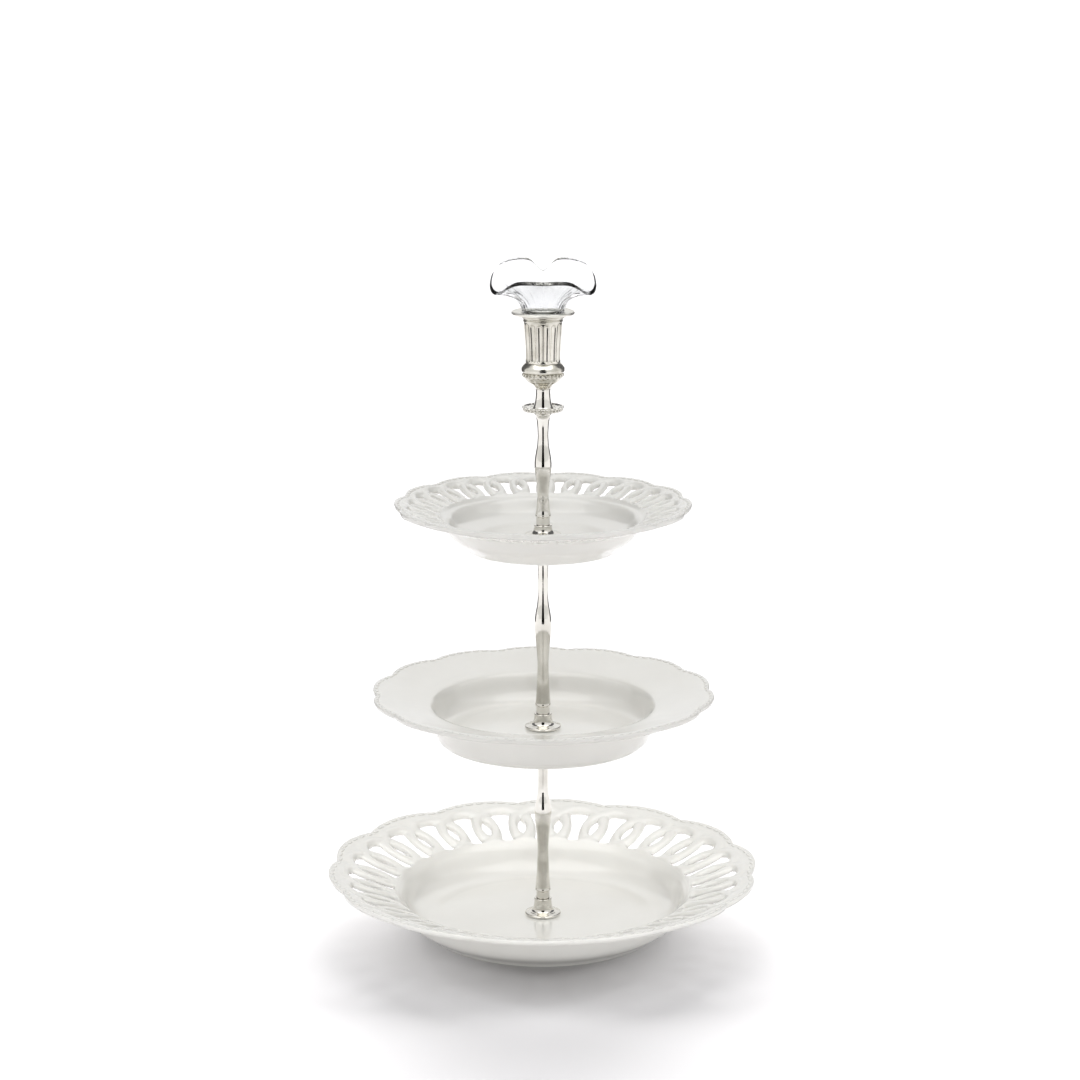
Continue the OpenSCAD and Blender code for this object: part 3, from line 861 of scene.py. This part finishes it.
def vase(name, seat):
    """Trumpet of glass: an outer and an inner wall swept round the axis.

    The lip has two tall lobes at the back, a lower one in front, and a dip between each two.
    """
    thick, n = GLASS_T, 240
    angles = np.arange(n) * 2 * pi / n
    from_back = np.abs((np.degrees(angles) - 90 + 180) % 360 - 180)
    shares = [0, 0.12, 0.25, 0.38, 0.5, 0.65, 0.8, 1]
    wall_r = catmull(list(zip(shares, [14.5, 15, 16, 18, 20.8, 25, 29.8, 36.4])), 8)
    wall_z = catmull(list(zip(shares, [0, 2.5, 5.2, 8.2, 11, 14, 17, 20])), 8)
    lip = catmull([[0, 23], [6, 26], [12, 30.2], [18, 32.4], [30, 33], [45, 32], [60, 30], [75, 25.6],
                   [90, 19.4], [104, 16], [118, 14.8], [128, 16.6], [138, 20.4], [150, 23.8],
                   [165, 24.8], [180, 24.5]], 8)
    lip_z = np.interp(from_back, lip[:, 0], lip[:, 1])
    ribs = 0.6 * np.cos(22 * angles) + 0.5 * np.cos(35 * angles + 1.0)

    def wall(u, ripple=0.30):
        away = max(u - 0.2, 0) / 0.8
        r = np.interp(u, wall_r[:, 0], wall_r[:, 1])
        z = seat + np.interp(u, wall_z[:, 0], wall_z[:, 1]) + (lip_z * LIP_SCALE - 20) * away ** 1.6
        swell = ripple * ribs * sin(pi * min(u * 0.95, 1))
        return np.full(n, r) + swell, z

    rows = [(np.full(n, r), np.full(n, z)) for r, z in (
        (3, seat - PEG), (8.4, seat - PEG), (8.8, seat - 14.9), (9.3, seat - 14.5), (9.45, seat - 13),
        (9.9, seat - 4.6), (11.3, seat - 2.4), (13.2, seat))]
    rows += [wall(i / 44) for i in range(45)]
    r1, z1 = wall(1.0)
    for a in (20, 50, 80, 110, 140):
        rise = 0.95 * thick * 0.5 * (1 + sin(radians(a - 90)))
        rows.append((r1 - 0.95 + 0.95 * cos(radians(a)), z1 + rise))
    for i in reversed(range(41)):
        r, z = wall(i / 40, -0.30)
        rows.append((r - thick * 0.8, z + thick * 0.72))
    rows += [(np.full(n, r), np.full(n, z)) for r, z in (
        (11.3, seat + 1.0), (10.4, seat + 0.4), (8.8, seat - 2.4), (7.2, seat - 5.2), (6.6, seat - 9.5),
        (5.8, seat - 11.4), (3, seat - 12))]
    rings = [np.stack([r * np.cos(angles), r * np.sin(angles), z], 1) for r, z in rows]
    points = np.concatenate(rings).tolist()
    faces = grid_faces(len(rows), n, False)
    bottom, top = len(points), len(points) + 1
    points += [(0, 0, seat - PEG), (0, 0, seat - 12)]
    last = (len(rows) - 1) * n
    faces += [(bottom, (k + 1) % n, k) for k in range(n)]
    faces += [(top, last + k, last + (k + 1) % n) for k in range(n)]
    return outward(mesh_object(name, points, faces))


def build_vase(material):
    """The glass insert, seated where its peg meets the nozzle."""
    seat = foot_of("glass_vase") + PEG
    stand_for(vase("glass_vase_blown", seat), "vase", "clear_glass", material, "glass_vase")


# ---------------------------------------------------------------- stage

def dark_card(name, place, width, height, material):
    """Upright card that only reflections see, for the dark lines down polished metal; in millimetres."""
    x, y, _ = place
    aside = np.array([-y, x, 0]) / np.hypot(x, y) * width / 2
    centre = np.array(place)
    up = np.array([0, 0, height / 2])
    corners = [centre - aside - up, centre + aside - up, centre + aside + up, centre - aside + up]
    card = mesh_object(name, corners, [(0, 1, 2, 3)], False)
    dress(card, material)
    card.visible_camera = False
    card.visible_diffuse = False
    card.visible_shadow = False
    card.visible_transmission = False
    return card


def plain(name, colour):
    """Matt material for the stage."""
    mat, _, shader = nodes_of(name)
    shader.inputs["Base Color"].default_value = (*colour, 1)
    shader.inputs["Roughness"].default_value = 0.9
    shader.inputs["Specular IOR Level"].default_value = 0.0
    return mat


def build_floor():
    """White paper, wide enough that no edge of it is in view."""
    half = 40000
    floor = mesh_object("floor", [(-half, -half, 0), (half, -half, 0), (half, half, 0), (-half, half, 0)],
                        [(0, 1, 2, 3)], False)
    dress(floor, plain("paper_white", (0.60, 0.593, 0.60)))
    return floor


def build_cards():
    """A black card in front for the streak down the metal, and a grey one each side for its outlines.

    The grey ones also show through the glass.
    """
    dark_card("front_card", (0, -950, 1000), 600, 2000, plain("card_black", (0.005, 0.005, 0.005)))
    grey = plain("card_grey", (0.16, 0.16, 0.165))
    for side, name in ((-1, "left_card"), (1, "right_card")):
        dark_card(name, (side * 710, 710, 1000), 850, 2000, grey).visible_transmission = True


def build_world():
    """White surroundings, brighter in reflections and through glass than as light on matt surfaces."""
    world = bpy.data.worlds.new("studio")
    world.use_nodes = True
    tree = world.node_tree
    tree.nodes["Background"].inputs["Color"].default_value = (1, 1, 1, 1)
    rays = tree.nodes.new("ShaderNodeLightPath")
    strength = spread(tree, rays.outputs["Is Diffuse Ray"], MIRRORED, AMBIENT, (0, 1))
    tree.links.new(strength, tree.nodes["Background"].inputs["Strength"])
    bpy.context.scene.world = world


def build_lights(floor):
    """Low broad lights that wash the floor white from behind and both sides, and soft ones for the stand."""
    plates = [bpy.data.objects[tier + "_plate_glazed"] for tier in ("bottom", "middle", "top")]
    things = [obj for obj in bpy.data.objects if obj.type == "MESH" and obj != floor]
    light("floor_sun_back", "SUN", 8.4, FLOOR_TILT, [floor], plates, angle=radians(50))
    for side, name in ((-1, "floor_sun_left"), (1, "floor_sun_right")):
        lamp = light(name, "SUN", 3.0, FLOOR_TILT, [floor], plates, angle=radians(25))
        lamp.rotation_euler[2] = radians(-side * 70)
    light("overhead", "SUN", 1.5, 12, things, plates[:1], angle=radians(70))
    front = light("front_strip", "AREA", 18.0, 90, plates[:1], [], shape="RECTANGLE", size=2.4, size_y=0.4)
    front.location = (0, -2.2, 0.4)


def light(name, kind, energy, tilt, receivers, blockers, **settings):
    """A lamp that lights only some objects, and whose shadows are cast by only some of them."""
    data = bpy.data.lights.new(name, kind)
    data.energy = energy
    for key, value in settings.items():
        setattr(data, key, value)
    lamp = bpy.data.objects.new(name, data)
    lamp.rotation_euler = (radians(tilt), 0, 0)
    bpy.context.collection.objects.link(lamp)
    lamp.light_linking.receiver_collection = group(name + "_lights", receivers)
    lamp.light_linking.blocker_collection = group(name + "_shadows", blockers)
    return lamp


def group(name, objects):
    """A collection of objects, for a lamp's light linking."""
    out = bpy.data.collections.new(name)
    for obj in objects:
        out.objects.link(obj)
    return out


def build_camera():
    """Long lens, a little above the stand and looking down at its middle."""
    data = bpy.data.cameras.new("camera")
    data.lens, data.sensor_width = 100, 36
    camera = bpy.data.objects.new("camera", data)
    camera.location = CAMERA
    camera.rotation_euler = (radians(90 - LOOK_DOWN), 0, 0)
    bpy.context.collection.objects.link(camera)
    bpy.context.scene.camera = camera


def dress_hidden(hardware, pad, seal):
    """Materials for the CAD nodes that are carried over as they are."""
    for node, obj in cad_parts.items():
        if node.endswith("_pad"):
            dress(obj, pad)
        elif node in ("bottom_screw", "bottom_washer", "lower_stud", "middle_stud", "cup_screw"):
            dress(obj, hardware)
        elif node == "vase_ring":
            dress(obj, seal)


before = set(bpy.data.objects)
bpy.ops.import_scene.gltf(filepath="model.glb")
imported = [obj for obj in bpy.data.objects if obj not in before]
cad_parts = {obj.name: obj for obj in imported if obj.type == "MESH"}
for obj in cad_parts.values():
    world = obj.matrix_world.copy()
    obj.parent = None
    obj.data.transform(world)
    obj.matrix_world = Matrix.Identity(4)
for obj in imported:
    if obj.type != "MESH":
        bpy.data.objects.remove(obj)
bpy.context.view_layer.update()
polished = silver("silver_plate")
build_camera()
build_plates(glaze())
build_stem(polished)
# Darker copy of the silver for the bowl and barrel: dimmer colours painted in as a darker reflection, with
# the tarnish clouds and a higher roughness.
build_cup(polished, silver("aged_silver", (0.70, 0.68, 0.62), (0.50, 0.48, 0.42), (0.15, 0.24)), satin())
build_vase(clear_glass())
dress_hidden(steel(), rubber("pad", (0.03, 0.03, 0.03), (0.07, 0.07, 0.065)),
             rubber("seal", (0.55, 0.55, 0.52), (0.66, 0.66, 0.63)))
build_world()
ground = build_floor()
build_cards()
build_lights(ground)
bpy.context.scene.view_settings.view_transform = "Standard"
